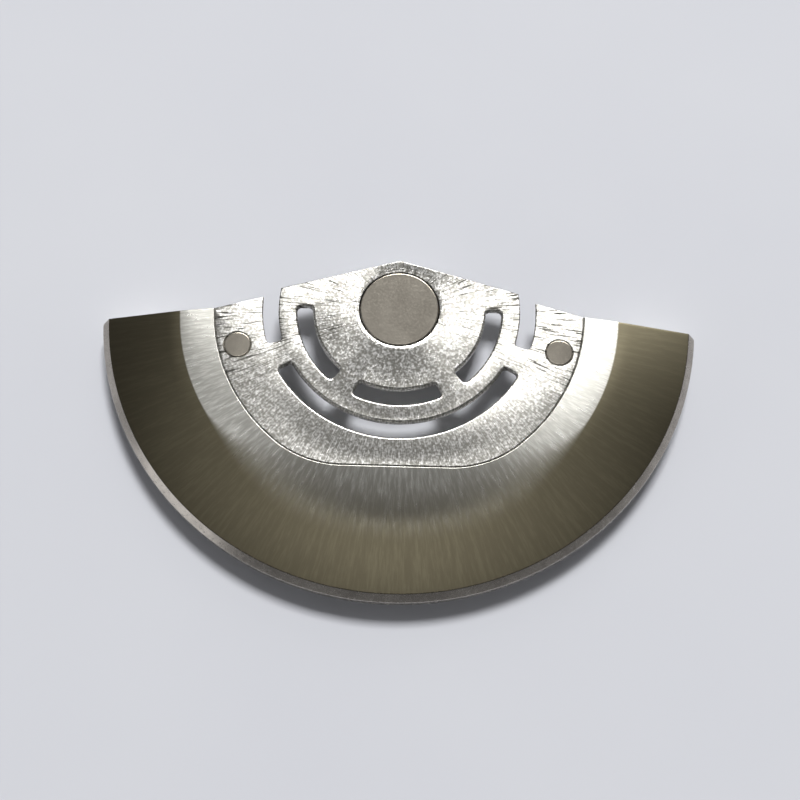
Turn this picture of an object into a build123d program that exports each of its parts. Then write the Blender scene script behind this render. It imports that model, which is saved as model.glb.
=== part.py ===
from build123d import *
import math
import os

# Automatic watch rotor: a slotted carrier plate riveted into a heavy half-ring, on a ball bearing.
# Millimetres. The origin is on the axis of rotation, at the seat under the bearing's fixed core.
# +Z points up, out of the watch. At rest the heavy half lies towards -Y, with +X to the right.

overrun = 0.5  # how far a cutting shape runs past the metal that it cuts

# Bearing core and lower cone, the two pieces that stay still
core_radius = 1.80
head_bevel_width = 0.10
head_bevel_height = 0.06
cone_wall = 0.65  # from the stem out to the core's side
seat_width = 0.35  # from the spigot out to the stem
spigot_length = 0.30
spigot_chamfer = 0.08
tapped_hole_radius = 0.35
tapped_hole_depth = 0.90
contact_angle = 45.0

# Balls and their cage
ball_count = 5
ball_radius = 0.25
ball_height = 0.72  # from the seat to the centres of the balls
pitch_offset = 0.12  # from the core's side out to the centres of the balls
race_clearance = 0.01
cage_clearance = 0.06
cage_floor = 0.10
cage_wall_over_centre = 0.06
pocket_clearance = 0.02

# Bearing outer ring, which turns with the plate
neck_gap = 0.05
neck_wall = 0.20
neck_bevel_height = 0.03
roof_clearance = 0.05
roof_thickness = 0.23
race_width = 0.46  # of the V groove, where it opens at the shoulders
ring_wall = 0.19
ring_foot = 0.04
flange_width = 0.17
flange_thickness = 0.81

# Toothed pinion on the outer ring
pinion_module = 0.10
pinion_wall = 0.225
pinion_thickness = 0.30
dedendum_share = 1.25
tooth_base_share = 0.66
tooth_tip_share = 0.26

# Carrier plate
plate_thickness = 0.30
hub_wall = 0.307  # metal left between the centre hole and the back edge
back_slope = 15.8
peak_round = 0.60
wing_step = 0.245
hub_disc_width = 1.90  # from the centre hole out to the inner slots
slot_width = 0.72
slot_web = 0.85
slot_corner = 0.20
side_slot_top = 0.5
side_slot_bottom = -50.0
front_slot_half = 26.0
long_slot_half = 60.5
open_slot_bottom = -17.8
open_slot_top = 30.0
side_arc_end = 50.0
front_flattening = 0.87
edge_bevel = 0.11

# Heavy segment
ledge_cover = 0.21
ledge_width = 1.97
ledge_thickness = 0.50
ledge_setback = 0.10
band_overhang = 1.88
band_width = 1.58  # of the flat top, from the plate's edge out to the cone
rim_width = 3.28
rim_fall = 0.30  # how far the cone on top falls towards the edge
rim_drop = 0.35  # how far the rim hangs below the hub's seat
rim_foot_width = 2.00
rim_root_chamfer = 0.15
rim_bevel_width = 0.31
rim_bevel_height = 0.30
rim_wall_height = 0.38
end_slope = 6.6
end_corner_round = 0.25

# Rivets
rivet_offset = 1.10  # from the ledge's inner edge out to the rivet
rivet_angle = 15.1
rivet_radius = 0.40
rivet_sink_width = 0.26
rivet_bevel = 0.06
rivet_foot_width = 0.20
rivet_foot_thickness = 0.12

# Heights above the hub's seat
neck_bottom = ball_height + ball_radius + roof_clearance
plate_bottom = neck_bottom + roof_thickness
plate_top = plate_bottom + plate_thickness
flange_bottom = plate_bottom - flange_thickness
pinion_bottom = flange_bottom - pinion_thickness
ring_bottom = pinion_bottom - ring_foot
ledge_bottom = plate_bottom - ledge_thickness
rim_bottom = -rim_drop
rim_bevel_top = plate_top - rim_fall
rim_bevel_bottom = rim_bevel_top - rim_bevel_height
rim_wall_bottom = rim_bevel_bottom - rim_wall_height

# Radii about the axis of rotation, from the centre outwards
stem_radius = core_radius - cone_wall
spigot_radius = stem_radius - seat_width
pitch_radius = core_radius + pitch_offset
race_radius = ball_radius + race_clearance
groove_radius = pitch_radius + race_radius / math.cos(math.radians(contact_angle))
shoulder_radius = groove_radius - race_width / 2 * math.tan(math.radians(contact_angle))
ring_radius = shoulder_radius + ring_wall
flange_radius = ring_radius + flange_width
neck_bore = core_radius + neck_gap
neck_radius = neck_bore + neck_wall
inner_slot_radius = neck_radius + hub_disc_width
outer_slot_radius = inner_slot_radius + slot_width + slot_web
ledge_radius = outer_slot_radius + slot_width + ledge_cover
rivet_distance = ledge_radius + rivet_offset
plate_radius = ledge_radius + ledge_width
front_distance = plate_radius - front_flattening
cone_radius = plate_radius + band_width
rim_inner_radius = plate_radius + band_overhang
rim_radius = rim_inner_radius + rim_width

# The two cones stand off the balls by the race clearance, at the contact angle, and meet at the waist.
contact = math.radians(contact_angle)
waist_radius = pitch_radius - race_radius / math.cos(contact)
cone_rise = (race_radius - pitch_offset * math.cos(contact)) / math.sin(contact)

# The back edge of the plate falls away on both sides of a blunt peak, and steps down at the open slots.
slope = math.radians(back_slope)
back_distance = neck_radius + hub_wall
peak_reach = back_distance / math.cos(slope)
step_x = outer_slot_radius + slot_width / 2
wing_reach = peak_reach - wing_step


def polar(radius, degrees):
    """Gives the point at a radius and an angle from +X, seen from above."""
    angle = math.radians(degrees)
    return (radius * math.cos(angle), radius * math.sin(angle))


def fall_line_angle(reach, fall, radius):
    """Gives the angle where a line that leaves +Y at reach and falls to the right crosses a circle."""
    return math.degrees(math.asin(reach * math.cos(fall) / radius) - fall)


def fall_line(reach, fall, x):
    """Gives the point at x on a line that leaves +Y at reach and falls to the right."""
    return (x, reach - x * math.tan(fall))


wing_angle = fall_line_angle(wing_reach, slope, plate_radius)
wing_corner = polar(plate_radius, wing_angle)
end_fall = math.radians(end_slope)
end_reach = wing_corner[1] + wing_corner[0] * math.tan(end_fall)
end_angle = fall_line_angle(end_reach, end_fall, rim_radius)
rivet_x, rivet_y = polar(rivet_distance, -rivet_angle)
rivet_places = [(-rivet_x, rivet_y), (rivet_x, rivet_y)]


def draw_plate_outline():
    """Adds the plate's outline to the open sketch: one half from the peak to the front, and its mirror."""
    end = math.radians(side_arc_end)
    blend_radius = (front_distance - plate_radius * math.sin(end)) / (1 - math.sin(end))
    blend_x = (plate_radius - blend_radius) * math.cos(end)
    with BuildLine() as outline:
        Polyline(
            (0, peak_reach),
            fall_line(peak_reach, slope, step_x),
            fall_line(wing_reach, slope, step_x),
            wing_corner,
        )
        CenterArc((0, 0), plate_radius, wing_angle, -side_arc_end - wing_angle)
        CenterArc((blend_x, blend_radius - front_distance), blend_radius, -side_arc_end, side_arc_end - 90)
        Line((blend_x, -front_distance), (0, -front_distance))
        mirror(about=Plane.YZ)
    make_face(outline.edges())


def draw_arc_slot(inner_radius, start, end):
    """Adds one slot that follows a circle, from one angle to another, to the open sketch."""
    outer_radius = inner_radius + slot_width
    with BuildLine() as outline:
        CenterArc((0, 0), inner_radius, start, end - start)
        CenterArc((0, 0), outer_radius, start, end - start)
        Line(polar(inner_radius, start), polar(outer_radius, start))
        Line(polar(inner_radius, end), polar(outer_radius, end))
    make_face(outline.edges())


def turned_profile(*corners):
    """Adds a lathe profile to the open sketch on the XZ plane, from points of radius and height."""
    Polygon(*corners, align=None)


# Carrier plate: outline, slots, bevelled upper edges, then the centre hole and the countersunk rivet holes
with BuildPart() as carrier_plate:
    with BuildSketch(Plane.XY.offset(plate_bottom)) as blank:
        draw_plate_outline()
        fillet(blank.vertices().sort_by(Axis.Y)[-1], radius=peak_round)
    extrude(amount=plate_thickness)
    with BuildSketch(Plane.XY.offset(plate_bottom - overrun)) as slots:
        draw_arc_slot(inner_slot_radius, side_slot_bottom, side_slot_top)
        draw_arc_slot(inner_slot_radius, 180 - side_slot_top, 180 - side_slot_bottom)
        draw_arc_slot(inner_slot_radius, -90 - front_slot_half, front_slot_half - 90)
        draw_arc_slot(outer_slot_radius, -90 - long_slot_half, long_slot_half - 90)
        draw_arc_slot(outer_slot_radius, open_slot_bottom, open_slot_top)
        draw_arc_slot(outer_slot_radius, 180 - open_slot_top, 180 - open_slot_bottom)
        fillet(slots.vertices(), radius=slot_corner)
    extrude(amount=plate_thickness + 2 * overrun, mode=Mode.SUBTRACT)
    chamfer(carrier_plate.faces().sort_by(Axis.Z)[-1].edges(), length=edge_bevel)
    with Locations(Plane.XY.offset(plate_top)):
        Hole(neck_radius)
        with Locations(*rivet_places):
            CounterSinkHole(rivet_radius, rivet_radius + rivet_sink_width, counter_sink_angle=90)
carrier_plate.part.label = "carrier_plate"

# Heavy segment: a turned ring, cut to its plan, with a seat for the plate milled into its top
with BuildPart() as weight_segment:
    with BuildSketch(Plane.XZ):
        turned_profile(
            (ledge_radius, plate_top),
            (ledge_radius, ledge_bottom),
            (rim_inner_radius - rim_root_chamfer, ledge_bottom),
            (rim_inner_radius, ledge_bottom - rim_root_chamfer),
            (rim_inner_radius, rim_bottom),
            (rim_inner_radius + rim_foot_width, rim_bottom),
            (rim_radius, rim_wall_bottom),
            (rim_radius, rim_bevel_bottom),
            (rim_radius - rim_bevel_width, rim_bevel_top),
            (cone_radius, plate_top),
        )
    revolve(axis=Axis.Z)
    with BuildSketch(Plane.XY.offset(rim_bottom - overrun)) as plan:
        ledge_end = polar(ledge_radius, fall_line_angle(wing_reach, slope, ledge_radius))
        with BuildLine():
            Polyline(
                (0, ledge_end[1] - ledge_setback),
                (ledge_end[0], ledge_end[1] - ledge_setback),
                (wing_corner[0], wing_corner[1] - ledge_setback),
                wing_corner,
                polar(rim_radius, end_angle),
            )
            CenterArc((0, 0), rim_radius, end_angle, -90 - end_angle)
            mirror(about=Plane.YZ)
        make_face()
        rim_corners = plan.vertices().filter_by(lambda v: math.hypot(v.X, v.Y) > rim_radius - edge_bevel)
        fillet(rim_corners.sort_by(Axis.Y)[-2:], radius=end_corner_round)
    extrude(amount=plate_top - rim_bottom + 2 * overrun, mode=Mode.INTERSECT)
    with BuildSketch(Plane.XY.offset(plate_bottom)):
        draw_plate_outline()
    extrude(amount=plate_thickness + overrun, mode=Mode.SUBTRACT)
    with BuildSketch(Plane.XY.offset(plate_top - edge_bevel)):
        draw_plate_outline()
    extrude(amount=2 * edge_bevel, taper=-45, mode=Mode.SUBTRACT)
    with Locations(Plane.XY.offset(plate_bottom)):
        with Locations(*rivet_places):
            Hole(rivet_radius)
weight_segment.part.label = "weight_segment"

# Rivets: a flush head in the plate's countersink, a shank and an upset foot under the ledge
rivets = []
for side, (x, y) in zip(("left", "right"), rivet_places):
    with BuildPart() as rivet:
        with BuildSketch(Plane(origin=(x, y, 0), x_dir=(1, 0, 0), z_dir=(0, -1, 0))):
            turned_profile(
                (0, plate_top),
                (rivet_radius + rivet_sink_width - 2 * rivet_bevel, plate_top),
                (rivet_radius + rivet_sink_width - rivet_bevel, plate_top - rivet_bevel),
                (rivet_radius, plate_top - rivet_sink_width),
                (rivet_radius, ledge_bottom),
                (rivet_radius + rivet_foot_width, ledge_bottom),
                (rivet_radius + rivet_foot_width, ledge_bottom - rivet_foot_thickness),
                (0, ledge_bottom - rivet_foot_thickness),
            )
        revolve(axis=Axis((x, y, 0), (0, 0, 1)))
    rivet.part.label = f"rivet_{side}"
    rivets.append(rivet.part)

# Bearing core: flat head, upper cone, stem and spigot, with a tapped blind hole from below
with BuildPart() as bearing_core:
    with BuildSketch(Plane.XZ):
        turned_profile(
            (0, plate_top),
            (core_radius - head_bevel_width, plate_top),
            (core_radius, plate_top - head_bevel_height),
            (core_radius, ball_height + cone_rise),
            (waist_radius, ball_height),
            (stem_radius, ball_height),
            (stem_radius, 0),
            (spigot_radius, 0),
            (spigot_radius, spigot_chamfer - spigot_length),
            (spigot_radius - spigot_chamfer, -spigot_length),
            (0, -spigot_length),
        )
    revolve(axis=Axis.Z)
    with Locations(Plane(origin=(0, 0, -spigot_length), x_dir=(1, 0, 0), z_dir=(0, 0, -1))):
        Hole(tapped_hole_radius, depth=tapped_hole_depth)
bearing_core.part.label = "bearing_core"

# Lower cone: pressed on the stem from below, so that the two cones make the inner race
with BuildPart() as bearing_lower_cone:
    with BuildSketch(Plane.XZ):
        turned_profile(
            (stem_radius, 0),
            (core_radius, 0),
            (core_radius, ball_height - cone_rise),
            (waist_radius, ball_height),
            (stem_radius, ball_height),
        )
    revolve(axis=Axis.Z)
bearing_lower_cone.part.label = "bearing_lower_cone"

# Outer ring: the neck rises through the plate, the flange seats under it, and the race is turned inside
with BuildPart() as bearing_outer_ring:
    with BuildSketch(Plane.XZ):
        turned_profile(
            (shoulder_radius, ring_bottom),
            (ring_radius, ring_bottom),
            (ring_radius, flange_bottom),
            (flange_radius, flange_bottom),
            (flange_radius, plate_bottom),
            (neck_radius, plate_bottom),
            (neck_radius, plate_top),
            (neck_bore, plate_top - neck_bevel_height),
            (neck_bore, neck_bottom),
            (shoulder_radius, neck_bottom),
            (shoulder_radius, ball_height + race_width / 2),
            (groove_radius, ball_height),
            (shoulder_radius, ball_height - race_width / 2),
        )
    revolve(axis=Axis.Z)
bearing_outer_ring.part.label = "bearing_outer_ring"

# Rotor pinion: straight-flanked teeth on a ring that is pressed up against the outer ring's flange
pinion_teeth = round(2 * ((ring_radius + pinion_wall) / pinion_module + dedendum_share))
tooth_pitch_radius = pinion_module * pinion_teeth / 2
tooth_root_radius = tooth_pitch_radius - dedendum_share * pinion_module
tooth_tip_radius = tooth_pitch_radius + pinion_module
tooth_pitch = math.pi * pinion_module
tooth_base = tooth_pitch * tooth_base_share
tooth_tip = tooth_pitch * tooth_tip_share
tooth_embed_radius = tooth_root_radius - pinion_module / 4
with BuildPart() as rotor_pinion:
    with BuildSketch(Plane.XY.offset(pinion_bottom)):
        Circle(tooth_root_radius)
        with PolarLocations(0, pinion_teeth):
            Polygon(
                (tooth_tip_radius, tooth_tip / 2),
                (tooth_embed_radius, tooth_base / 2),
                (tooth_embed_radius, -tooth_base / 2),
                (tooth_tip_radius, -tooth_tip / 2),
                align=None,
            )
        Circle(ring_radius, mode=Mode.SUBTRACT)
    extrude(amount=pinion_thickness)
rotor_pinion.part.label = "rotor_pinion"

# Ball cage: a thin ring between the two races, with a pocket for each ball, open upwards
cage_top = ball_height + cage_wall_over_centre
cage_bottom = ball_height - ball_radius - pocket_clearance - cage_floor
with BuildPart(Plane.XY.offset(ball_height)) as ball_cage:
    with BuildSketch(Plane.XY.offset(cage_bottom)):
        Circle(shoulder_radius - cage_clearance)
        Circle(core_radius + cage_clearance, mode=Mode.SUBTRACT)
    extrude(amount=cage_top - cage_bottom)
    with PolarLocations(pitch_radius, ball_count):
        Cylinder(ball_radius + pocket_clearance, 2 * overrun, rotation=(0, 90, 0), mode=Mode.SUBTRACT)
ball_cage.part.label = "ball_cage"

# Balls: one solid each, evenly spaced round the race
balls = []
for number in range(ball_count):
    with BuildPart(Plane.XY.offset(ball_height)) as bearing_ball:
        with PolarLocations(pitch_radius, 1, start_angle=number * 360 / ball_count):
            Sphere(ball_radius)
    bearing_ball.part.label = f"bearing_ball_{number + 1}"
    balls.append(bearing_ball.part)

single_pieces = [
    carrier_plate,
    weight_segment,
    bearing_core,
    bearing_lower_cone,
    bearing_outer_ring,
    rotor_pinion,
    ball_cage,
]
os.makedirs("parts", exist_ok=True)
for piece in [builder.part for builder in single_pieces] + rivets + balls:
    export_step(piece, f"parts/{piece.label}.step")

print(f"swept diameter {2 * rim_radius:.2f} mm, height {plate_top - rim_bottom:.2f} mm")
print(f"pinion teeth {pinion_teeth}, tip radius {tooth_tip_radius:.2f} mm")
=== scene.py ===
# %% [markdown]
# # An automatic watch rotor
#
# A self-winding watch is wound by a half-disc of metal that swings round a small ball bearing whenever the
# wrist moves. A thin slotted plate carries a heavy rim, and a toothed pinion under the plate drives the
# winding train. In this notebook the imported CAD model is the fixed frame, and we give it fine surfaces and
# real finishes.
#
# A rotor is all metal, so its looks come from three things: the direction of the brush marks, exact edges,
# and what there is around it to reflect. We make the finishes first, then each piece with its edges, and
# last the table and the light.

# %% Load the frame
import math

import bmesh
import bpy
import numpy as np
from mathutils import Matrix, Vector
from mathutils.geometry import delaunay_2d_cdt


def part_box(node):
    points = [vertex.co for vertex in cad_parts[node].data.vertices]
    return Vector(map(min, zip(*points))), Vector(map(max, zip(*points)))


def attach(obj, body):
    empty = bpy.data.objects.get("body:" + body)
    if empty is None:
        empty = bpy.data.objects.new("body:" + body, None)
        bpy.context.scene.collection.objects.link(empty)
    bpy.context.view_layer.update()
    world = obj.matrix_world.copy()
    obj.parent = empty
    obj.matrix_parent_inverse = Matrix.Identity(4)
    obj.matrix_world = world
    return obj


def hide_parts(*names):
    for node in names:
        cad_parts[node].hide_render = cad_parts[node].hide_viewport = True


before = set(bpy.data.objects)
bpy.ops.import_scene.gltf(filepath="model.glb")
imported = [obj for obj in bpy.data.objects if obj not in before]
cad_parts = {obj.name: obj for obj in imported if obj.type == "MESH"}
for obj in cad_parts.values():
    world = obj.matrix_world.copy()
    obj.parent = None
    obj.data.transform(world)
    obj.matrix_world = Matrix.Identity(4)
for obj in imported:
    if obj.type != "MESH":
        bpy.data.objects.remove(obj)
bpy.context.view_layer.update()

MM = 0.001

# %% [markdown]
# ## Sizes
#
# Everything that the CAD model can tell us is read from it, so the new surfaces cannot drift away from it.
# The rest are the same driving sizes that the part was drawn with: lengths in millimetres, and the ends of
# slots and arcs in degrees. Plan positions are complex numbers, x + iy, and lathe profiles are radius + i
# height, so that turning, mirroring and offsetting are one short expression each.

# %% Heights and radii from the model


def box_mm(node):
    """Gives a node's lowest and highest corners, in millimetres."""
    return [np.array(corner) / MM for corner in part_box(node)]


weight_low = box_mm("weight_segment")[0]
plate_low, plate_high = box_mm("carrier_plate")
rivet_low, rivet_high = box_mm("rivet_right")
core_low, core_high = box_mm("bearing_core")
ring_low, ring_high = box_mm("bearing_outer_ring")
pinion_top = box_mm("rotor_pinion")[1][2]
top, plate_bottom, rim_bottom = plate_high[2], plate_low[2], weight_low[2]
rim_radius, core_radius, flange_radius = -weight_low[1], core_high[0], ring_high[0]
rivet_x, rivet_y = (rivet_low + rivet_high)[:2] / 2
print(f"top at {top:.2f}, plate's underside at {plate_bottom:.2f}, rim from {rim_bottom:.2f}")
print(f"rim's radius {rim_radius:.2f}, rivets at ({rivet_x:.2f}, {rivet_y:.2f})")

# %% Driving sizes of the plate
neck_radius, hub_wall = 2.05, 0.307
edge_bevel, seam_bevel = 0.11, 0.05
back_slope, peak_round, wing_step = math.radians(15.8), 0.60, 0.245
slot_width, slot_corner = 0.72, 0.20
inner_slot, outer_slot = 3.95, 5.52
side_slot_top, side_slot_bottom = 0.5, -50.0
front_slot_half, long_slot_half = 26.0, 60.5
open_slot_bottom = -17.8
plate_radius, side_arc_end, front_flattening = 8.42, 50.0, 0.87
rivet_radius, rivet_sink = 0.40, 0.26
peak_reach = (neck_radius + hub_wall) / math.cos(back_slope)
wing_reach = peak_reach - wing_step
front_distance = plate_radius - front_flattening
print(f"the plate's peak is at y {peak_reach:.2f}, and its flat front at y {-front_distance:.2f}")

# %% Driving sizes of the segment
ledge_radius, ledge_bottom, ledge_setback = 6.45, 0.75, 0.10
rim_inner_radius, rim_root, rim_foot = 10.30, 0.15, 2.00
fold_radius, cone_fall = 10.00, 0.30
bevel_width, bevel_height, wall_height = 0.31, 0.30, 0.38
end_fall, end_corner = math.radians(6.6), 0.25
cone_width = rim_radius - bevel_width - fold_radius
print(f"the cone falls {cone_fall:.2f} in {cone_width:.2f}, from radius {fold_radius:.2f}")

# %% [markdown]
# ## Curves and surfaces
#
# Two kinds of surface make the whole rotor: a profile turned round an axis, and an edge profile carried
# round an outline. Primitives with Bevel and Boolean modifiers could make them too, but slots that meet an
# edge at a shallow angle leave thin faces there. A grid of points that numpy works out as whole arrays
# stays even. Flat faces with holes are filled by a triangulation that keeps every outline edge.

# %% Curves in the plane


def arc(centre, radius, start, end, count):
    """Gives points of a circle, centre + radius e^(i angle), from one angle to another in degrees."""
    return centre + radius * np.exp(1j * np.radians(np.linspace(start, end, count)))


def hole(centre, radius, count):
    """Gives a hole's circle, which runs clockwise, so that the metal is to its left."""
    return arc(centre, radius, 360, 360 / count, count)


def joined(*pieces, nearest=1e-5):
    """Joins stretches of points into one closed loop, and leaves out each point that repeats the one before
    it."""
    loop = np.concatenate(pieces)
    return loop[abs(loop - np.roll(loop, 1)) > nearest]


def mitres(loop):
    """Gives, for each corner of a closed loop, how far it moves when both its sides move one unit to their
    left: the sum of the sides' normals, times two over its squared length."""
    side = np.roll(loop, -1) - loop
    normal = 1j * side / abs(side)
    total = normal + np.roll(normal, 1)
    return total * 2 / abs(total) ** 2


def softened(corners, cut, count=4, closed=True):
    """Rounds the corners of a profile. Corner B becomes the curve (1-t)^2 A + 2t(1-t) B + t^2 C, where A and
    C lie on its two sides, a cut away from it or 0.4 of the side, whichever is less."""
    back, on = np.roll(corners, 1) - corners, np.roll(corners, -1) - corners
    start = corners + back * np.minimum(cut / abs(back), 0.4)
    stop = corners + on * np.minimum(cut / abs(on), 0.4)
    t = np.linspace(0, 1, count)
    rounds = np.outer(start, (1 - t) ** 2) + np.outer(corners, 2 * t * (1 - t)) + np.outer(stop, t**2)
    if closed:
        return rounds.ravel()
    return np.concatenate([corners[:1], rounds[1:-1].ravel(), corners[-1:]])


# %% Surfaces


def grid_faces(rows, columns):
    """Gives the quads of a grid whose points are numbered row by row, with its last column joined to its
    first."""
    number = np.arange(rows * columns).reshape(rows, columns)
    number = np.hstack([number, number[:, :1]])
    corners = [number[:-1, :-1], number[:-1, 1:], number[1:, 1:], number[1:, :-1]]
    return np.stack(corners, axis=-1).reshape(-1, 4)


def lathe(profile, count=180, centre=0j):
    """Turns a profile of radius + i height round a vertical axis: (r cos a, r sin a, height) for each angle
    a."""
    turn = np.exp(2j * math.pi * np.arange(count) / count)
    plan = centre + np.outer(profile.real, turn)
    height = np.repeat(profile.imag, count)
    points = np.column_stack([plan.real.ravel(), plan.imag.ravel(), height])
    return points, grid_faces(len(profile), count)


def carried(loop, edge):
    """Carries an edge profile round a closed loop. Each point of the profile is inset + i height, and the
    inset is measured to the left of the way the loop runs, into the metal."""
    plan = loop + np.outer(edge.real, mitres(loop))
    height = np.repeat(edge.imag, len(loop))
    points = np.column_stack([plan.real.ravel(), plan.imag.ravel(), height])
    return points, grid_faces(len(edge), len(loop))


def filled(outline, holes, height):
    """Fills the flat face between an outline and its holes: triangles of a Delaunay triangulation that keeps
    all the edges, less those inside a hole."""
    loops = [outline] + [loop[::-1] for loop in holes]
    flat = np.concatenate(loops)
    ends = np.cumsum([len(loop) for loop in loops])
    borders = [list(range(end - len(loop), end)) for end, loop in zip(ends, loops)]
    pairs = np.column_stack([flat.real, flat.imag]).tolist()
    result = delaunay_2d_cdt(pairs, [], borders, 1, 1e-7)
    points = np.column_stack([np.array(result[0]), np.full(len(result[0]), height)])
    return points, [face for face, source in zip(result[2], result[5]) if source == [0]]


# %% One object from its surfaces
merge_reach, sharp_angle = 2e-8, math.radians(38)


def make_piece(name, surfaces, material, node, body):
    """Makes one object from surfaces in millimetres. Their shared edges are merged, the faces are turned
    outwards, and the normals are weighted by area, so that flat faces stay flat up to a rounded edge."""
    points = np.concatenate([surface[0] for surface in surfaces])
    starts = np.cumsum([0] + [len(surface[0]) for surface in surfaces])
    faces = []
    for start, surface in zip(starts, surfaces):
        faces += [[start + int(corner) for corner in face] for face in surface[1]]
    mesh = bpy.data.meshes.new(name)
    mesh.from_pydata(points * MM, [], faces)
    mesh.materials.append(material)
    piece = bpy.data.objects.new(name, mesh)
    bpy.context.collection.objects.link(piece)
    work = bmesh.new()
    work.from_mesh(mesh)
    bmesh.ops.remove_doubles(work, verts=work.verts, dist=merge_reach)
    bmesh.ops.recalc_face_normals(work, faces=work.faces)
    work.to_mesh(mesh)
    work.free()
    mesh.shade_smooth()
    mesh.set_sharp_from_angle(angle=sharp_angle)
    even = piece.modifiers.new("even_normals", "WEIGHTED_NORMAL")
    even.keep_sharp = True
    even.weight = 100
    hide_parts(node)
    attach(piece, body)
    print(f"{name}: {len(mesh.polygons)} faces, {len(mesh.vertices)} points")
    return piece


# %% [markdown]
# ## Finishes
#
# A brushed surface is a field of tiny grooves. Light spreads across the grooves and hardly along them, so a
# radially brushed disc shows two bright wedges that turn as it turns. Grooves cut into the mesh would need
# millions of faces. In the shader they are anisotropy, and its tangent has to follow the brush marks. We
# work it out from Object coordinates, so that it stays with the metal: the position itself points along a
# radial mark, and the position turned a quarter points along a lathe mark.
#
# The marks themselves are noise that is stretched along the grooves, in polar coordinates. The angle is
# counted from the front, because there is a seam where it jumps, and the back of the rotor hides it.

# %% Links and arithmetic in a shader


def new_finish(name):
    """Makes a new material and gives it, its node tree and its shader."""
    material = bpy.data.materials.new(name)
    material.use_nodes = True
    tree = material.node_tree
    return material, tree, tree.nodes["Principled BSDF"]


def link(tree, value, socket):
    """Sets a socket to a plain value, or links it to another node's socket."""
    if isinstance(value, bpy.types.NodeSocket):
        tree.links.new(value, socket)
    else:
        socket.default_value = value


def calc(tree, operation, *values):
    """Adds a Math node and gives its result."""
    node = tree.nodes.new("ShaderNodeMath")
    node.operation = operation
    for value, socket in zip(values, node.inputs):
        link(tree, value, socket)
    return node.outputs[0]


def vector_calc(tree, operation, *values):
    """Adds a Vector Math node and gives its vector."""
    node = tree.nodes.new("ShaderNodeVectorMath")
    node.operation = operation
    for value, socket in zip(values, node.inputs):
        link(tree, value, socket)
    return node.outputs["Vector"]


def remap(tree, value, low, high, to_low=0.0, to_high=1.0, smooth=False):
    """Maps a value from one range to another, held at the ends."""
    node = tree.nodes.new("ShaderNodeMapRange")
    node.interpolation_type = "SMOOTHSTEP" if smooth else "LINEAR"
    for entry, socket in zip((value, low, high, to_low, to_high), node.inputs):
        link(tree, entry, socket)
    return node.outputs[0]


# %% Blends, noise and bump


def blend_colours(tree, share, first, second):
    """Mixes two colours by a share and gives the result."""
    node = tree.nodes.new("ShaderNodeMix")
    node.data_type = "RGBA"
    for value, socket in zip((share, first, second), (node.inputs[0], node.inputs[6], node.inputs[7])):
        link(tree, value, socket)
    return node.outputs[2]


def blend_values(tree, share, first, second):
    """Mixes two numbers by a share and gives the result."""
    node = tree.nodes.new("ShaderNodeMix")
    for value, socket in zip((share, first, second), (node.inputs[0], node.inputs[2], node.inputs[3])):
        link(tree, value, socket)
    return node.outputs[0]


def noise(tree, vector, scale, detail):
    """Adds a Noise texture on a vector and gives its value."""
    node = tree.nodes.new("ShaderNodeTexNoise")
    tree.links.new(vector, node.inputs["Vector"])
    node.inputs["Scale"].default_value = scale
    node.inputs["Detail"].default_value = detail
    return node.outputs["Fac"]


def bump(tree, height, strength, depth):
    """Adds a Bump node of a real depth in metres and gives its normal."""
    node = tree.nodes.new("ShaderNodeBump")
    node.inputs["Strength"].default_value = strength
    node.inputs["Distance"].default_value = depth
    tree.links.new(height, node.inputs["Height"])
    return node.outputs["Normal"]


# %% Polar coordinates and the direction of the marks


def place_mm(tree):
    """Gives the place on a piece in millimetres, counted from the rotor's axis."""
    place = tree.nodes.new("ShaderNodeTexCoord").outputs["Object"]
    return vector_calc(tree, "MULTIPLY", place, (1 / MM, 1 / MM, 1 / MM))


def polar(tree):
    """Gives the place, its radius, which is the root of x^2 + y^2, and its angle from the front in radians,
    which is the arctangent of x over -y."""
    place = place_mm(tree)
    split = tree.nodes.new("ShaderNodeSeparateXYZ")
    tree.links.new(place, split.inputs[0])
    x, y = split.outputs[0], split.outputs[1]
    squares = calc(tree, "ADD", calc(tree, "POWER", x, 2.0), calc(tree, "POWER", y, 2.0))
    angle = calc(tree, "ARCTAN2", x, calc(tree, "MULTIPLY", y, -1.0))
    return place, calc(tree, "SQRT", squares), angle


def marks(tree, radius, angle, per_mm, per_radian, detail=3.0):
    """Gives noise on the plane of radius and angle, stretched by how often it changes along each."""
    join = tree.nodes.new("ShaderNodeCombineXYZ")
    link(tree, calc(tree, "MULTIPLY", radius, per_mm), join.inputs[0])
    link(tree, calc(tree, "MULTIPLY", angle, per_radian), join.inputs[1])
    return noise(tree, join.outputs[0], 1.0, detail)


def tangent(tree, place, along_radius):
    """Gives the world direction across the grooves: round the axis for radial marks, outwards for lathe
    marks."""
    flat = vector_calc(tree, "MULTIPLY", place, (1.0, 1.0, 0.0))
    across = vector_calc(tree, "CROSS_PRODUCT", (0.0, 0.0, 1.0), flat) if along_radius else flat
    turn = tree.nodes.new("ShaderNodeVectorTransform")
    turn.vector_type, turn.convert_from, turn.convert_to = "VECTOR", "OBJECT", "WORLD"
    tree.links.new(across, turn.inputs[0])
    return vector_calc(tree, "NORMALIZE", turn.outputs[0])


# %% [markdown]
# The plate is brushed outwards from the hub. Its marks are broken into dots, most of all near the hub, and
# a few long scratches show dark in the glare at the sides. A tone, a roughness and a bump that each had
# noise of their own would look like dirt. Here one noise drives all three, so that a mark is dark, rough
# and deep in the same place.

# %% Radially brushed metal, for the plate and the weight
coarse_per_radian, fine_per_radian, fine_per_mm = 60.0, 200.0, 2.2
scratch_per_radian, scratch_per_mm = 75.0, 0.8
scratch_colour, scratch_roughness = (0.12, 0.115, 0.10, 1), 0.75
middle_roughness = 0.32


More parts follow.
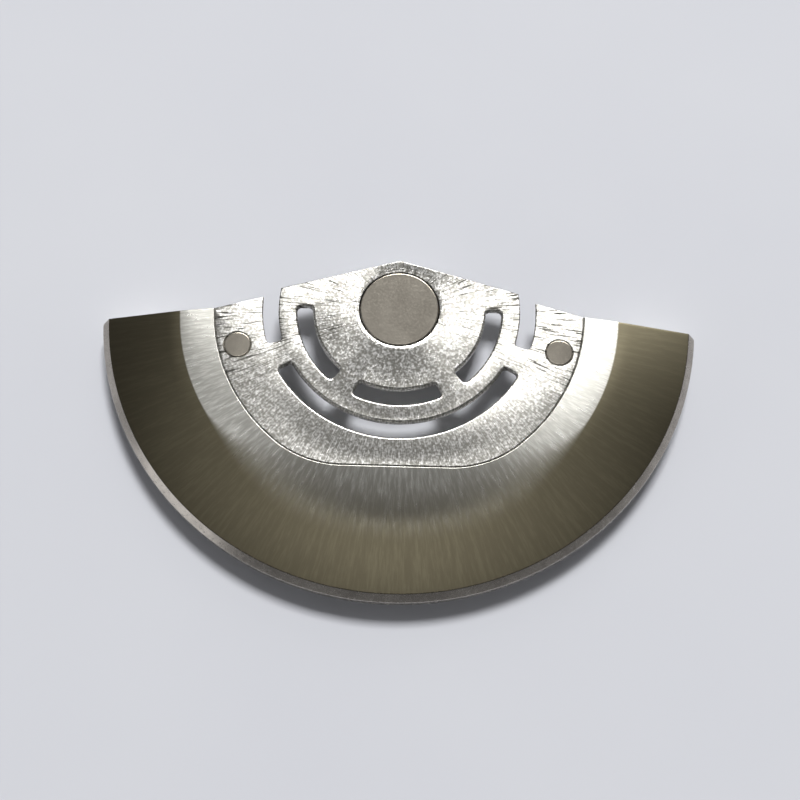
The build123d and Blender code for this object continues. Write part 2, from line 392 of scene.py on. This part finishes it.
def dotted(tree, place, radius, coarse, length):
    """Puts dots among coarse marks of a length: dots alone within 4.3 mm of the axis, half and half beyond
    5.7 mm."""
    dots = noise(tree, place, 1.3 / length, 1.0)
    streaked = remap(tree, radius, 4.3, 5.7, 0.0, 0.5, smooth=True)
    return blend_values(tree, streaked, dots, coarse)


def scratched(tree, radius, angle, colour, roughness):
    """Lays long dark scratches over a colour and a roughness. They come in where the angle from the front
    goes from 0.9 to 1.3 radians."""
    at_side = remap(tree, calc(tree, "ABSOLUTE", angle), 0.9, 1.3, smooth=True)
    lines = marks(tree, radius, angle, scratch_per_mm, scratch_per_radian, 1.0)
    scratch = calc(tree, "MULTIPLY", remap(tree, lines, 0.58, 0.62), at_side)
    colour = blend_colours(tree, scratch, colour, scratch_colour)
    return colour, blend_values(tree, scratch, roughness, scratch_roughness)


def radial_brushing(tree, shader, spot, dark, light, length, depth, spread=0.06, worn=False):
    """Sets a shader to metal with radial brush marks of a length in millimetres and a depth in metres. Their
    height is 0.65 of a coarse noise and 0.35 of a fine one. The tone goes from dark to light with it, and the
    roughness from a spread over its middle to a spread under it."""
    place, radius, angle = spot
    coarse = marks(tree, radius, angle, 1 / length, coarse_per_radian)
    if worn:
        coarse = dotted(tree, place, radius, coarse, length)
    fine = marks(tree, radius, angle, fine_per_mm, fine_per_radian, 1.0)
    both = calc(tree, "ADD", calc(tree, "MULTIPLY", coarse, 0.65), calc(tree, "MULTIPLY", fine, 0.35))
    colour = blend_colours(tree, remap(tree, both, 0.46, 0.62), (*dark, 1), (*light, 1))
    roughness = remap(tree, both, 0.35, 0.65, middle_roughness + spread, middle_roughness - spread)
    if worn:
        colour, roughness = scratched(tree, radius, angle, colour, roughness)
    link(tree, colour, shader.inputs["Base Color"])
    link(tree, roughness, shader.inputs["Roughness"])
    shader.inputs["Metallic"].default_value = 1.0
    shader.inputs["Anisotropic"].default_value = 0.9
    link(tree, tangent(tree, place, True), shader.inputs["Tangent"])
    link(tree, bump(tree, both, 1.0, depth), shader.inputs["Normal"])


plate_dark, plate_light = (0.34, 0.33, 0.295), (0.95, 0.935, 0.90)
plate_finish, tree, shader = new_finish("radially_brushed_plate")
radial_brushing(tree, shader, polar(tree), plate_dark, plate_light, 0.13, 0.000009, worn=True)
print(f"{plate_finish.name}: {len(tree.nodes)} nodes")

# %% [markdown]
# The weight's top has the same brushing in two tones. A bright flat band lies beside the plate, and outside
# it the metal falls away as a shallow cone, which reflects a darker part of the room. The slope alone leaves
# it too bright, so the cone's colour also carries painted shade: a darker olive that stands in for that
# darker reflection. At the sides the border of this painted shade is as sharp as the fold between them.
# Towards the front it moves in and fades. Two materials on two sets of faces would be sharp all round, so one
# material mixes two shaders instead, and the border's radius and its width both depend on the angle.

# %% Bright band and a cone with painted shade, for the weight
band_dark, band_light = (0.38, 0.373, 0.34), (0.54, 0.533, 0.495)
# The cone's colours are painted shade: a dark olive that stands in for the darker part of the room it
# reflects, not a different metal.
cone_painted_shade_dark, cone_painted_shade_light = (0.106, 0.093, 0.062), (0.120, 0.107, 0.071)
side_border, front_border = fold_radius, 8.9
side_fade, added_fade = 0.04, 2.2
weight_finish, tree, band_shader = new_finish("brushed_band_and_painted_shade_cone")
cone_painted_shade_shader = tree.nodes.new("ShaderNodeBsdfPrincipled")
spot = polar(tree)
radius, angle = spot[1:]
radial_brushing(tree, band_shader, spot, band_dark, band_light, 0.9, 0.00001)
radial_brushing(tree, cone_painted_shade_shader, spot, cone_painted_shade_dark, cone_painted_shade_light, 2.2, 0.000001, spread=0.01)
# Where the painted shade begins: at the fold at the sides, and further in and fading out towards the front,
# like the edge of a reflection.
front = remap(tree, calc(tree, "ABSOLUTE", angle), 0.35, 1.05, 1.0, 0.0, smooth=True)
border = calc(tree, "ADD", side_border, calc(tree, "MULTIPLY", front, front_border - side_border))
fade = calc(tree, "ADD", side_fade, calc(tree, "MULTIPLY", front, added_fade))
inner, outer = calc(tree, "SUBTRACT", border, fade), calc(tree, "ADD", border, fade)
mix = tree.nodes.new("ShaderNodeMixShader")
link(tree, remap(tree, radius, inner, outer, smooth=True), mix.inputs[0])
link(tree, band_shader.outputs[0], mix.inputs[1])
link(tree, cone_painted_shade_shader.outputs[0], mix.inputs[2])
link(tree, mix.outputs[0], tree.nodes["Material Output"].inputs["Surface"])
print(f"{weight_finish.name}: {len(tree.nodes)} nodes")

# %% [markdown]
# The other faces are plainer: satin heads with fine pits, a polished bevel, turned undersides, hard steel
# and brass. One flat colour and one roughness would make each look like paint, so each has a cloudy tone,
# and a grain that drives both its roughness and its bump.

# %% Smoother finishes
clouds_per_mm = 1.1


def plain_metal(name, dark, light, roughness, spread, grain, depth, anisotropy=0.0):
    """Makes a satin metal with a cloudy tone from dark to light, a grain that changes so many times in a
    millimetre, and pits of a depth in metres. It has lathe marks if it is anisotropic."""
    material, tree, shader = new_finish(name)
    place = place_mm(tree)
    clouds = noise(tree, place, clouds_per_mm, 3.0)
    pits = noise(tree, place, grain, 2.0)
    tone = blend_colours(tree, remap(tree, clouds, 0.35, 0.65), (*dark, 1), (*light, 1))
    link(tree, tone, shader.inputs["Base Color"])
    pitted = remap(tree, pits, 0.3, 0.7, roughness - spread, roughness + spread)
    link(tree, pitted, shader.inputs["Roughness"])
    shader.inputs["Metallic"].default_value = 1.0
    shader.inputs["Anisotropic"].default_value = anisotropy
    if anisotropy:
        link(tree, tangent(tree, place, False), shader.inputs["Tangent"])
    link(tree, bump(tree, pits, 0.4, depth), shader.inputs["Normal"])
    print(f"{name}: roughness {roughness:.2f}, {grain:.0f} grains in a millimetre")
    return material


head_dark, head_light = (0.275, 0.251, 0.21), (0.34, 0.312, 0.262)
rim_dark, rim_light = (0.39, 0.362, 0.328), (0.48, 0.448, 0.405)
under_dark, under_light = (0.42, 0.41, 0.38), (0.52, 0.51, 0.48)
steel_dark, steel_light = (0.50, 0.50, 0.50), (0.60, 0.60, 0.60)
ball_dark, ball_light = (0.68, 0.68, 0.69), (0.74, 0.74, 0.75)
cage_dark, cage_light = (0.62, 0.46, 0.20), (0.74, 0.58, 0.30)
head_finish = plain_metal("pitted_satin_head", head_dark, head_light, 0.22, 0.05, 9.0, 0.00001)
rim_finish = plain_metal("polished_rim", rim_dark, rim_light, 0.24, 0.06, 6.0, 0.000001, 0.5)
under_finish = plain_metal("turned_underside", under_dark, under_light, 0.36, 0.06, 8.0, 0.000004, 0.6)
steel_finish = plain_metal("cut_steel", steel_dark, steel_light, 0.30, 0.05, 10.0, 0.000003)
ball_finish = plain_metal("polished_balls", ball_dark, ball_light, 0.08, 0.02, 14.0, 0.000001)
cage_finish = plain_metal("stamped_brass", cage_dark, cage_light, 0.30, 0.06, 10.0, 0.000003)

# %% [markdown]
# ## The carrier plate
#
# The plate is one flat sheet, and its outline carries all its character: a blunt peak behind the hub, two
# arms that fall away to the wings, and slots that follow circles. Two of the slots run out through the back
# edge, so they belong to the outline. A slot could be cut with a Boolean modifier, but its edge needs an
# even bevel, and an outline that we know can simply have one carried round it. A slot is a rounded
# rectangle, bent round the axis: its length becomes an angle.

# %% Slots


def crossing(reach, fall, radius):
    """Gives the angle in degrees where a line that leaves the y axis at reach and falls to the right crosses
    a circle: arcsin(reach cos(fall) / radius) - fall."""
    return math.degrees(math.asin(reach * math.cos(fall) / radius) - fall)


def bent(flat, middle):
    """Bends a flat strip round the axis. The real part is the distance along the middle circle, and the
    imaginary part is the radius."""
    return flat.imag * np.exp(1j * flat.real / middle)


def slot_loop(inner, start, end):
    """Gives a slot's closed outline, from one angle to another in degrees, with the metal to its left."""
    middle, outer, c = inner + slot_width / 2, inner + slot_width, slot_corner
    low, high = math.radians(start) * middle + c, math.radians(end) * middle - c
    flat = joined(
        np.linspace(low + 1j * inner, high + 1j * inner, 60),
        arc(high + 1j * (inner + c), c, -90, 0, 10),
        arc(high + 1j * (outer - c), c, 0, 90, 10),
        np.linspace(high + 1j * outer, low + 1j * outer, 60),
        arc(low + 1j * (outer - c), c, 90, 180, 10),
        arc(low + 1j * (inner + c), c, 180, 270, 10),
    )
    return bent(flat, middle)


def open_slot():
    """Gives the slot that runs out through the back edge: down its outer side, round its end and up again."""
    middle, outer, c = outer_slot + slot_width / 2, outer_slot + slot_width, slot_corner
    low = math.radians(open_slot_bottom) * middle + c
    outer_top = math.radians(crossing(wing_reach, back_slope, outer)) * middle
    inner_top = math.radians(crossing(peak_reach, back_slope, outer_slot)) * middle
    flat = np.concatenate([
        np.linspace(outer_top + 1j * outer, low + 1j * outer, 30),
        arc(low + 1j * (outer - c), c, 90, 180, 10),
        arc(low + 1j * (outer_slot + c), c, 180, 270, 10),
        np.linspace(low + 1j * outer_slot, inner_top + 1j * outer_slot, 40),
    ])
    return bent(flat, middle)


slots = [
    slot_loop(inner_slot, side_slot_bottom, side_slot_top),
    slot_loop(inner_slot, 180 - side_slot_top, 180 - side_slot_bottom),
    slot_loop(inner_slot, -90 - front_slot_half, front_slot_half - 90),
    slot_loop(outer_slot, -90 - long_slot_half, long_slot_half - 90),
]
print(f"{len(slots)} closed slots of {[len(slot) for slot in slots]} points")

# %% Outline of the plate
end = math.radians(side_arc_end)
blend_radius = (front_distance - plate_radius * math.sin(end)) / (1 - math.sin(end))
blend_centre = complex((plate_radius - blend_radius) * math.cos(end), blend_radius - front_distance)
wing_angle = crossing(wing_reach, back_slope, plate_radius)
peak_centre = 1j * (peak_reach - peak_round / math.cos(back_slope))
slope_degrees = math.degrees(back_slope)
half = joined(
    np.linspace(-1j * front_distance, blend_centre.real - 1j * front_distance, 12),
    arc(blend_centre, blend_radius, -90, -side_arc_end, 50),
    arc(0, plate_radius, -side_arc_end, wing_angle, 90),
    open_slot(),
    arc(peak_centre, peak_round, 90 - slope_degrees, 90, 8),
)
plate_outline = joined(half, -half[::-1].conj())
print(f"plate outline of {len(plate_outline)} points, {np.ptp(plate_outline.real):.2f} mm wide")

# %% Edges, holes and faces of the plate


def at_inset(loop, inset):
    """Gives a loop moved to its left by an inset."""
    return loop + inset * mitres(loop)


quarter = np.radians(np.linspace(0, 90, 5))
rounded = 1 - np.cos(quarter) - 1j * (1 - np.sin(quarter))
slot_edge = np.concatenate([[1j * plate_bottom], edge_bevel * rounded + 1j * top])
outline_edge = np.concatenate([[1j * plate_bottom], seam_bevel * rounded + 1j * top])
hole_edge = np.array([1j * plate_bottom, 1j * top])
sink_edge = np.array([1j * plate_bottom, 1j * (top - rivet_sink), rivet_sink + 1j * top])
rivet_holes = [hole(complex(x, rivet_y), rivet_radius, 72) for x in (-rivet_x, rivet_x)]
edged = [(plate_outline, outline_edge)] + [(slot, slot_edge) for slot in slots]
edged += [(hole(0, neck_radius, 180), hole_edge)] + [(loop, sink_edge) for loop in rivet_holes]
upper = [at_inset(loop, edge[-1].real) for loop, edge in edged]
lower = [at_inset(loop, edge[0].real) for loop, edge in edged]
plate_surfaces = [carried(loop, edge) for loop, edge in edged]
plate_surfaces += [filled(upper[0], upper[1:], top), filled(lower[0], lower[1:], plate_bottom)]
make_piece("plate_surface", plate_surfaces, plate_finish, "carrier_plate", "rotor")

# %% [markdown]
# ## The heavy segment
#
# The rim is turned on a lathe as a ring and then cut in half. A Spin modifier and a cut would do the same
# here, but the cut would leave ragged faces in the rounded corners. Instead one cross-section is carried
# round the axis, and each of its points stops where its own circle meets the end cut, which gives the
# sloping ends and their rounded corners without any cutting. At the front the plate's seat leaves the
# circle, and only the points of the seat move with it.

# %% Cross-section of the segment
section = np.array([
    ledge_radius + 1j * ledge_bottom,
    plate_radius + 1j * ledge_bottom,
    rim_inner_radius - rim_root + 1j * ledge_bottom,
    rim_inner_radius + 1j * (ledge_bottom - rim_root),
    rim_inner_radius + 1j * rim_bottom,
    rim_inner_radius + rim_foot + 1j * rim_bottom,
    rim_radius + 1j * (top - cone_fall - bevel_height - wall_height),
    rim_radius + 1j * (top - cone_fall - bevel_height),
    rim_radius - bevel_width + 1j * (top - cone_fall),
    fold_radius + 1j * top,
    plate_radius + seam_bevel + 1j * top,
    plate_radius + 1j * (top - seam_bevel),
    plate_radius + 1j * plate_bottom,
    ledge_radius + 1j * plate_bottom,
])
under_seat, fold, seat = 1, 9, (10, 11, 12)
corner_points, fold_round, edge_round = 9, 0.60, 0.03
corner = np.arange(len(section))
profile = softened(section, np.where(corner == fold, fold_round, edge_round), corner_points)
follows_seat = np.repeat(np.isin(corner, seat), corner_points)
print(f"section of {len(section)} corners, {len(profile)} points, {follows_seat.sum()} of them on the seat")

# %% Where each circle ends
wing_corner = plate_radius * np.exp(1j * math.radians(wing_angle))
ledge_end = ledge_radius * np.exp(1j * math.radians(crossing(wing_reach, back_slope, ledge_radius)))
ledge_end = ledge_end - 1j * ledge_setback
ledge_fall = math.atan((ledge_end.imag - wing_corner.imag) / (wing_corner.real - ledge_end.real))
end_reach = wing_corner.imag + wing_corner.real * math.tan(end_fall)
ledge_reach = wing_corner.imag + wing_corner.real * math.tan(ledge_fall)
print(f"end cuts fall {math.degrees(end_fall):.1f} degrees, the ledge's {math.degrees(ledge_fall):.1f}")


def end_angles(radius, pull):
    """Gives the angle where circles meet the end cut, pulled back by a distance: the ledge's line inside the
    plate, the end line outside it, and a rounded corner at the rim."""
    ledge = np.arcsin((ledge_reach * math.cos(ledge_fall) - pull) / radius) - ledge_fall
    line = np.arcsin((end_reach * math.cos(end_fall) - pull) / radius) - end_fall
    centre = rim_radius - end_corner
    centre_angle = np.arcsin((end_reach * math.cos(end_fall) - pull - end_corner) / centre) - end_fall
    cosine = (radius**2 + centre**2 - end_corner**2) / (2 * radius * centre)
    corner = centre_angle + np.arccos(np.clip(cosine, -1, 1))
    touch = abs(centre * np.exp(1j * centre_angle) + end_corner * np.exp(1j * (math.pi / 2 - end_fall)))
    return np.where(radius < plate_radius, ledge, np.where(radius < touch, line, np.minimum(line, corner)))


def seat_radius(angle):
    """Gives the plate's edge along a ray: its circle, then the arc that blends it, then the flat front. The
    flat's distance is divided by the ray's fall, held above 0.5, as the flat is only used in front."""
    ray = np.exp(1j * (np.abs(angle + math.pi / 2) - math.pi / 2))
    local = blend_centre / ray
    blend = local.real + np.sqrt(np.maximum(blend_radius**2 - local.imag**2, 0))
    flat = front_distance / np.maximum(-ray.imag, 0.5)
    on_flat = flat * ray.real < blend_centre.real
    on_blend = np.degrees(np.angle(ray)) < -side_arc_end
    return np.where(on_blend, np.where(on_flat, flat, blend), plate_radius)


# %% Carry the section round
round_steps, section_count = 4, 420
turn = np.radians(np.linspace(90, 0, round_steps))[:, None]
end_insets, end_pulls = edge_round * (1 - np.cos(turn)), edge_round * (1 - np.sin(turn))
along = np.linspace(0, 1, section_count)[:, None]
insets = np.concatenate([end_insets, 0 * along[1:-1], end_insets[::-1]])
pulls = np.concatenate([end_pulls, edge_round + 0 * along[1:-1], end_pulls[::-1]])
along = np.concatenate([0 * end_insets, along[1:-1], 1 + 0 * end_insets])
sections = profile + insets * mitres(profile)
starts = end_angles(sections.real, pulls)
angles = starts + (-math.pi - 2 * starts) * along
radii = sections.real + follows_seat * (seat_radius(angles) - plate_radius)
plan = radii * np.exp(1j * angles)
points = np.column_stack([plan.real.ravel(), plan.imag.ravel(), sections.imag.ravel()])
rows, columns = plan.shape
print(f"{rows} sections of {columns} points")

# %% [markdown]
# The section's two ends are still open. Each is closed by two flat faces, which part at the edge of the
# plate, because the ledge's end and the rim's end follow different lines. One face over both would be bent.

# %% Close the ends
seat_foot, ledge_point = seat[-1] * corner_points, (under_seat + 1) * corner_points - 1
number = np.arange(rows * columns).reshape(rows, columns)
caps = []
for row in (0, rows - 1):
    caps.append(number[row, ledge_point:seat_foot + 1])
    caps.append(np.concatenate([number[row, seat_foot:], number[row, :ledge_point + 1]]))
weight_faces = [list(face) for face in grid_faces(rows, columns)] + [list(cap) for cap in caps]
weight = make_piece("weight_surface", [(points, weight_faces)], weight_finish, "weight_segment",
                    "rotor")

# %% [markdown]
# The bevel and the wall are polished, and nobody brushes the underside, so their faces get finishes of
# their own. They could be picked by hand, but a face's place tells which it is: the bevel and the wall lie
# outside the top face's edge, and the underside and the inner walls face down or inwards.

# %% Finishes of the segment's faces
brushed, polished, turned = 0, 1, 2
above_foot, faces_up = 0.02, 0.6
for finish in (rim_finish, under_finish):
    weight.data.materials.append(finish)
count = len(weight.data.polygons)
centres, normals = np.empty(count * 3), np.empty(count * 3)
weight.data.polygons.foreach_get("center", centres)
weight.data.polygons.foreach_get("normal", normals)
centres, normals = centres.reshape(-1, 3) / MM, normals.reshape(-1, 3)
reach = np.hypot(centres[:, 0], centres[:, 1])
on_rim = (reach > rim_radius - bevel_width) & (centres[:, 2] > rim_bottom + above_foot)
on_top = (normals[:, 2] > faces_up) & ~on_rim
finish_index = np.where(on_rim, polished, np.where(on_top, brushed, turned)).astype(np.int32)
weight.data.polygons.foreach_set("material_index", finish_index)
print(f"segment: {on_top.sum()} faces on top, {on_rim.sum()} on the rim")

# %% [markdown]
# ## Rivets
#
# Two rivets hold the plate on the segment's ledge. Their heads fill the countersinks flush with the plate,
# so all that shows is a satin disc in a fine dark ring. A bare cylinder would have no ring. A turned
# profile has a narrow bevel at the head, and its foot is spread under the ledge, as the real one is when it
# is set.

# %% Rivets
rivet_bevel, rivet_foot, rivet_foot_height = 0.04, 0.20, 0.12
rivet_profile = softened(np.array([
    1j * top,
    rivet_radius + rivet_sink - 2 * rivet_bevel + 1j * top,
    rivet_radius + rivet_sink - rivet_bevel + 1j * (top - rivet_bevel),
    rivet_radius + 1j * (top - rivet_sink),
    rivet_radius + 1j * ledge_bottom,
    rivet_radius + rivet_foot + 1j * ledge_bottom,
    rivet_radius + rivet_foot + 1j * (ledge_bottom - rivet_foot_height),
    1j * (ledge_bottom - rivet_foot_height),
]), 0.03, closed=False)
for side, x in (("left", -rivet_x), ("right", rivet_x)):
    surface = lathe(rivet_profile, 72, complex(x, rivet_y))
    make_piece(f"rivet_{side}_surface", [surface], head_finish, f"rivet_{side}", "rotor")

# %% [markdown]
# ## The bearing
#
# The plain disc in the middle is the head of the bearing's core, which is fixed to the watch. The bright
# ring round it is the neck of the outer ring, which turns with the plate. All this is lathe work, and a
# profile gives every shoulder, groove and bore its own size. The head's far edge catches the light because
# its bevel is steep, so the bevel is kept crisp and only its corners are softened.

# %% Bearing core
head_bevel_width, head_bevel_height = 0.07, 0.045
waist_radius, ball_height, cone_rise = 1.552, 0.72, 0.248
stem_radius, spigot_radius, spigot_chamfer = 1.15, 0.80, 0.08
tap_radius, tap_depth, spigot_end = 0.35, 0.90, core_low[2]
head_turn = np.radians(np.linspace(90, 0, 8))
head_inset, head_drop = 1 - np.cos(head_turn), 1 - np.sin(head_turn)
head_edge = core_radius - head_bevel_width * head_inset + 1j * (top - head_bevel_height * head_drop)
core_profile = softened(np.array([
    1j * top,
    *head_edge,
    core_radius + 1j * (ball_height + cone_rise),
    waist_radius + 1j * ball_height,
    stem_radius + 1j * ball_height,
    stem_radius + 0j,
    spigot_radius + 0j,
    spigot_radius + 1j * (spigot_end + spigot_chamfer),
    spigot_radius - spigot_chamfer + 1j * spigot_end,
    tap_radius + 1j * spigot_end,
    tap_radius + 1j * (spigot_end + tap_depth),
    1j * (spigot_end + tap_depth),
]), 0.015, closed=False)
make_piece("core_surface", [lathe(core_profile)], head_finish, "bearing_core", "hub")

# %% Lower cone and outer ring
cone_profile = softened(np.array([
    stem_radius + 0j,
    core_radius + 0j,
    core_radius + 1j * (ball_height - cone_rise),
    waist_radius + 1j * ball_height,
    stem_radius + 1j * ball_height,
]), 0.02)
cone_profile = np.append(cone_profile, cone_profile[:1])
make_piece("cone_surface", [lathe(cone_profile)], steel_finish, "bearing_lower_cone", "hub")

neck_bore, neck_bevel_height, neck_bottom = 1.85, 0.03, 1.02
shoulder_radius, groove_radius, ring_radius = 2.058, 2.288, 2.248
groove_half, ring_bottom = 0.23, ring_low[2]
ring_profile = softened(np.array([
    shoulder_radius + 1j * ring_bottom,
    ring_radius + 1j * ring_bottom,
    ring_radius + 1j * pinion_top,
    flange_radius + 1j * pinion_top,
    flange_radius + 1j * plate_bottom,
    neck_radius + 1j * plate_bottom,
    neck_radius + 1j * top,
    neck_bore + 1j * (top - neck_bevel_height),
    neck_bore + 1j * neck_bottom,
    shoulder_radius + 1j * neck_bottom,
    shoulder_radius + 1j * (ball_height + groove_half),
    groove_radius + 1j * ball_height,
    shoulder_radius + 1j * (ball_height - groove_half),
]), 0.015)
ring_profile = np.append(ring_profile, ring_profile[:1])
make_piece("ring_surface", [lathe(ring_profile)], plate_finish, "bearing_outer_ring",
           "rotor")

# %% [markdown]
# The pinion, the balls and their cage lie hidden under the plate, and the CAD model already has their true
# shapes. New surfaces would add nothing there, so these pieces stay, and only their finishes change.

# %% Finishes of the pieces that stay as the CAD model has them
kept = {"rotor_pinion": steel_finish, "ball_cage": cage_finish}
kept.update({name: ball_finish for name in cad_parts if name.startswith("bearing_ball_")})
for name, finish in kept.items():
    for material_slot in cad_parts[name].material_slots:
        material_slot.material = finish
print("CAD pieces with a new finish:", ", ".join(sorted(kept)))

# %% [markdown]
# ## The table, the light and the camera
#
# The rotor lies on a pale table, on the foot of its rim. The table is a hair lower than the foot, so that
# the two faces don't share a plane. It is nearly plain, but a faint mottle keeps it from looking like
# paper.

# %% Table
table_size, table_gap, mottle_per_m = 1.2, 0.002, 60.0
table_colour, table_mottle = (0.60, 0.61, 0.65, 1), (0.62, 0.63, 0.665, 1)
table_height = rim_bottom - table_gap
table_corners = table_size / 2 * np.array([-1 - 1j, 1 - 1j, 1 + 1j, -1 + 1j])
table_points = np.column_stack([table_corners.real, table_corners.imag, np.full(4, table_height * MM)])
table_mesh = bpy.data.meshes.new("table")
table_mesh.from_pydata(table_points, [], [(0, 1, 2, 3)])
table = bpy.data.objects.new("table", table_mesh)
bpy.context.collection.objects.link(table)
table_finish, tree, shader = new_finish("pale_table")
mottle = noise(tree, tree.nodes.new("ShaderNodeTexCoord").outputs["Object"], mottle_per_m, 3.0)
tone = blend_colours(tree, remap(tree, mottle, 0.3, 0.7), table_colour, table_mottle)
link(tree, tone, shader.inputs["Base Color"])
shader.inputs["Roughness"].default_value = 0.9
table_mesh.materials.append(table_finish)
print(f"table of {table_size} m, {table_height:.3f} mm up")

# %% [markdown]
# Metal shows what is around it, so the sky is drawn as a set of things to reflect, on a dim grey. A broad
# soft patch high behind the rotor is what its flat faces reflect. A card low on the left, and a glow along
# the horizon that is strongest behind, light its bevels and the edges of the slots. An image of a studio
# would do this too, but patches worked out from the direction can each be moved and dimmed alone.

# %% Sky
base_light, behind_light, horizon_light = 0.14, 0.58, 0.45
sky_colour = (1.0, 1.0, 1.02, 1)
world = bpy.data.worlds.new("studio")
bpy.context.scene.world = world
world.use_nodes = True
tree = world.node_tree
direction = tree.nodes.new("ShaderNodeTexCoord").outputs["Generated"]
split = tree.nodes.new("ShaderNodeSeparateXYZ")
tree.links.new(direction, split.inputs[0])


def soft_patch(middle, inner, outer):
    """Gives 1 where the sky lies within an inner distance of a direction, fading to 0 at an outer one."""
    offset = vector_calc(tree, "SUBTRACT", direction, middle)
    away = tree.nodes.new("ShaderNodeVectorMath")
    away.operation = "LENGTH"
    tree.links.new(offset, away.inputs[0])
    return remap(tree, away.outputs["Value"], inner, outer, 1.0, 0.0, smooth=True)


behind = calc(tree, "MULTIPLY", soft_patch((0.0, 0.42, 0.91), 0.10, 0.50), behind_light)
left_card = soft_patch((-0.88, -0.42, 0.15), 0.20, 0.40)
low_glow = remap(tree, split.outputs[2], 0.15, 0.45, horizon_light, 0.0, smooth=True)
towards_back = remap(tree, split.outputs[1], -0.7, 0.3, 0.15, 1.0, smooth=True)
horizon = calc(tree, "MULTIPLY", low_glow, towards_back)
brightest = calc(tree, "MAXIMUM", calc(tree, "MAXIMUM", behind, left_card), horizon)
tree.nodes["Background"].inputs["Color"].default_value = sky_colour
link(tree, calc(tree, "ADD", brightest, base_light), tree.nodes["Background"].inputs["Strength"])
print(f"sky of {len(tree.nodes)} nodes")

# %% [markdown]
# The brightest things to reflect are lamps. One low behind the rotor gives the brushed plate its glare, a
# weaker one to the right of it widens the glare on that wing, and a dim card over the top fills the front.
# Shadows from all three would cross on the table, so they light only what reflects them. The table has a
# lamp of its own, high and large, which gives the one soft shadow, and which the metal doesn't reflect.

# %% Lamps
lamp_target = (0, -0.004, 0)


def aimed(position, target):
    """Gives the placement of something at a position in metres that looks at a target along its own -Z."""
    position, target = np.array(position, float), np.array(target, float)
    back = position - target
    back /= np.linalg.norm(back)
    right = np.cross((0, 0, 1), back)
    right /= np.linalg.norm(right)
    frame_axes = np.column_stack([right, np.cross(back, right), back, position])
    return Matrix(np.vstack([frame_axes, (0, 0, 0, 1)]).tolist())


def soft_lamp(name, heading, elevation, width, height, radiance, away=0.5):
    """Hangs a rectangular lamp some metres away, at a heading from the back and an elevation in degrees. Its
    width and height are in metres, and its power is radiance times area times pi."""
    lamp = bpy.data.lights.new(name, "AREA")
    lamp.shape, lamp.size, lamp.size_y = "RECTANGLE", width, height
    lamp.energy = radiance * width * height * math.pi
    holder = bpy.data.objects.new(name, lamp)
    heading, elevation = math.radians(heading), math.radians(elevation)
    level = away * math.cos(elevation)
    position = (level * math.sin(heading), level * math.cos(heading), away * math.sin(elevation))
    holder.matrix_world = aimed(position, lamp_target)
    bpy.context.collection.objects.link(holder)
    print(f"{name}: {lamp.energy:.2f} W")
    return holder


soft_lamp("back_lamp", 6, 34, 0.28, 0.20, 19.0).visible_diffuse = False
soft_lamp("side_lamp", 24, 34, 0.14, 0.20, 4.5).visible_diffuse = False
soft_lamp("top_card", 0, 86, 0.25, 0.09, 3.0).visible_diffuse = False
soft_lamp("table_lamp", 12, 63, 0.42, 0.42, 39.3, 1.5).visible_glossy = False

# %% [markdown]
# The camera looks down from the rim's side. Its place was found by matching the rotor's outline, the hub
# and the rivets in the photograph: about 21 degrees off the vertical at the point it aims at, and some 7
# centimetres away. A track constraint could aim it, but the small roll is easier to give as a matrix.

# %% Camera
aim = np.array([0.132, -4.461, 1.55]) * MM
distance, focal_pixels, picture_pixels = 70.67 * MM, 1581.3, 800
tilt, swing, roll = math.radians(20.948), math.radians(-0.205), math.radians(1.679)
back = np.array([math.sin(tilt) * math.sin(swing), -math.sin(tilt) * math.cos(swing), math.cos(tilt)])
right = np.array([math.cos(swing), math.sin(swing), 0])
up = np.cross(back, right)
rolled_right = right * math.cos(roll) + up * math.sin(roll)
rolled_up = up * math.cos(roll) - right * math.sin(roll)
axes = np.column_stack([rolled_right, rolled_up, back, aim + back * distance])
camera = bpy.data.cameras.new("camera")
camera.angle = 2 * math.atan(picture_pixels / 2 / focal_pixels)
camera.clip_start, camera.clip_end = 0.001, 10
holder = bpy.data.objects.new("camera", camera)
holder.matrix_world = Matrix(np.vstack([axes, (0, 0, 0, 1)]).tolist())
bpy.context.collection.objects.link(holder)
bpy.context.scene.camera = holder
bpy.context.scene.view_settings.view_transform = "Standard"
print("camera in millimetres:", np.round(np.array(holder.matrix_world.translation) / MM, 1).tolist())
